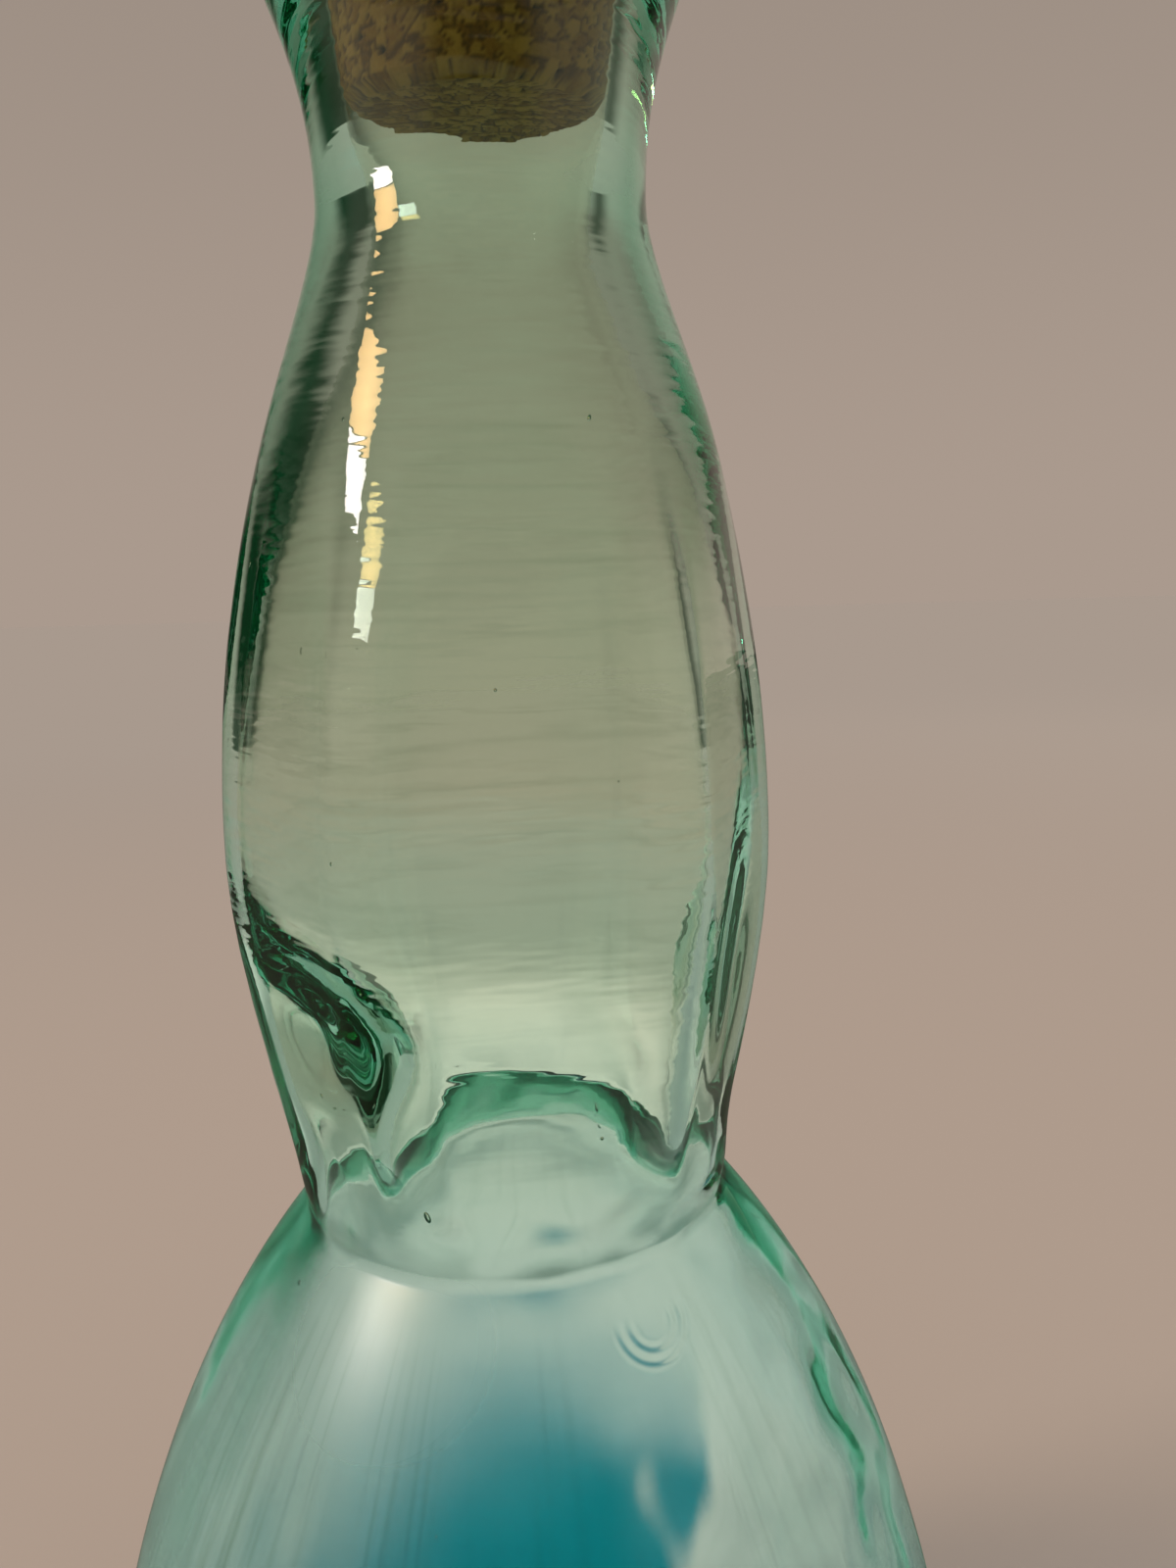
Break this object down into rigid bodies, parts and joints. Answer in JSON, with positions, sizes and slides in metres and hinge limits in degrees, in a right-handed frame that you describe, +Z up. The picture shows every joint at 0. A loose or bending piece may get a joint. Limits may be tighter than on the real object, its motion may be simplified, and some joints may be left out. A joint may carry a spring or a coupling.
{
  "type": "corked glass decanter",
  "caption": "Double-gourd decanter of thick pale green blown glass: bell-shaped body, creased waist, panelled upper bulb, flared mouth, and a tapered cork that pulls out.",
  "frame": {"origin": "centre of the foot ring, on the surface that the decanter stands on", "axes": "+Z up along the axis of the glass and the cork, -Y out of the middle of the front panel of the bulb"},
  "size_m": [0.118, 0.118, 0.31],
  "materials": {
    "blown_glass": "fire-polished blown glass, pale sage green, turquoise towards the base, with seeds and ripples",
    "agglomerated_cork": "matt pressed cork granules, tan with brown flecks"
  },
  "bodies": {
    "vessel": {"glass_vessel": "blown_glass"},
    "stopper": {"cork_stopper": "agglomerated_cork"}
  },
  "joints": [
    {"name": "cork_pull", "type": "slide", "parent": "vessel", "child": "stopper", "axis": [0, 0, 1], "range_m": [0, 0.05]}
  ]
}
